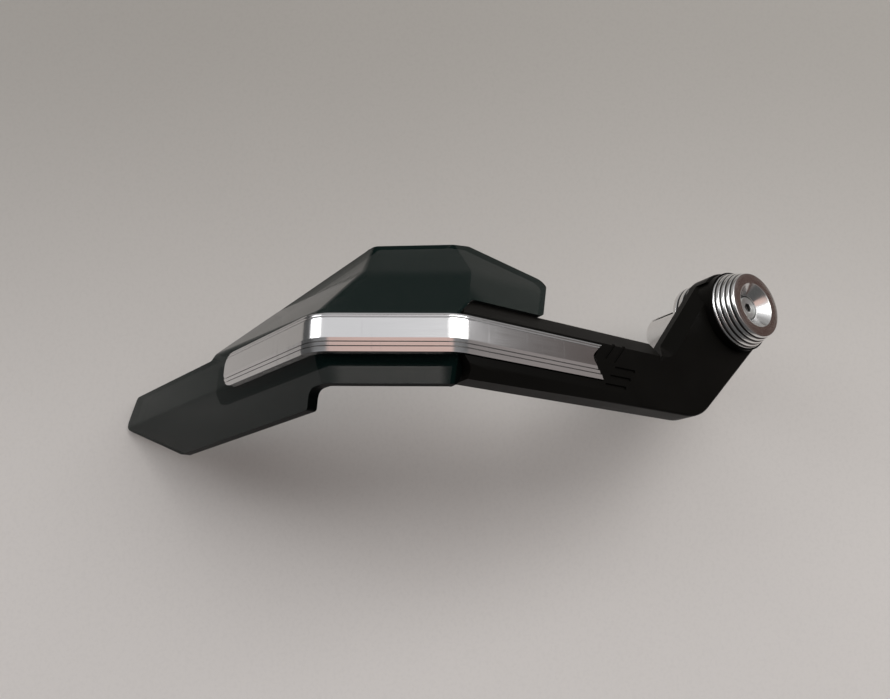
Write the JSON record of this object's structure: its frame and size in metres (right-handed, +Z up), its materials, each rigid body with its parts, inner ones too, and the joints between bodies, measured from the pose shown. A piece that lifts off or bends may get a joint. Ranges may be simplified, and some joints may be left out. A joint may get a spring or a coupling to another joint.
{
  "type": "motorcycle hand guard",
  "caption": "Left bar end hand guard: a black bent arm carries a folded smoked wind deflector and a grooved metal strip, and a split plug grips the bore of the handlebar.",
  "frame": {"origin": "centre of the handlebar's end, where the spacer collar seats on it", "axes": "+X inboard along the handlebar, +Y forward over the lever, +Z up"},
  "size_m": [0.1723, 0.196, 0.0645],
  "materials": {
    "arm_black": "satin moulded black",
    "smoked_sheet": "glossy smoked green-grey",
    "satin_aluminium": "satin, brushed along the strip",
    "turned_aluminium": "bright turned",
    "bolt_steel": "bright zinc",
    "screw_black": "blackened"
  },
  "bodies": {
    "root": {"guard_arm": "arm_black", "wind_deflector": "smoked_sheet", "trim_strip": "satin_aluminium", "bar_end_cap": "turned_aluminium", "bar_end_bolt": "bolt_steel", "spacer_collar": "turned_aluminium", "plug_sleeve": "turned_aluminium", "wedge_nut": "bolt_steel", "fixing_screw_1": "screw_black", "fixing_screw_2": "screw_black", "fixing_screw_3": "screw_black", "fixing_screw_4": "screw_black", "fixing_screw_5": "screw_black", "fixing_washer_1": "bolt_steel", "fixing_washer_2": "bolt_steel", "fixing_washer_3": "bolt_steel", "fixing_washer_4": "bolt_steel", "fixing_washer_5": "bolt_steel"}
  },
  "joints": []
}
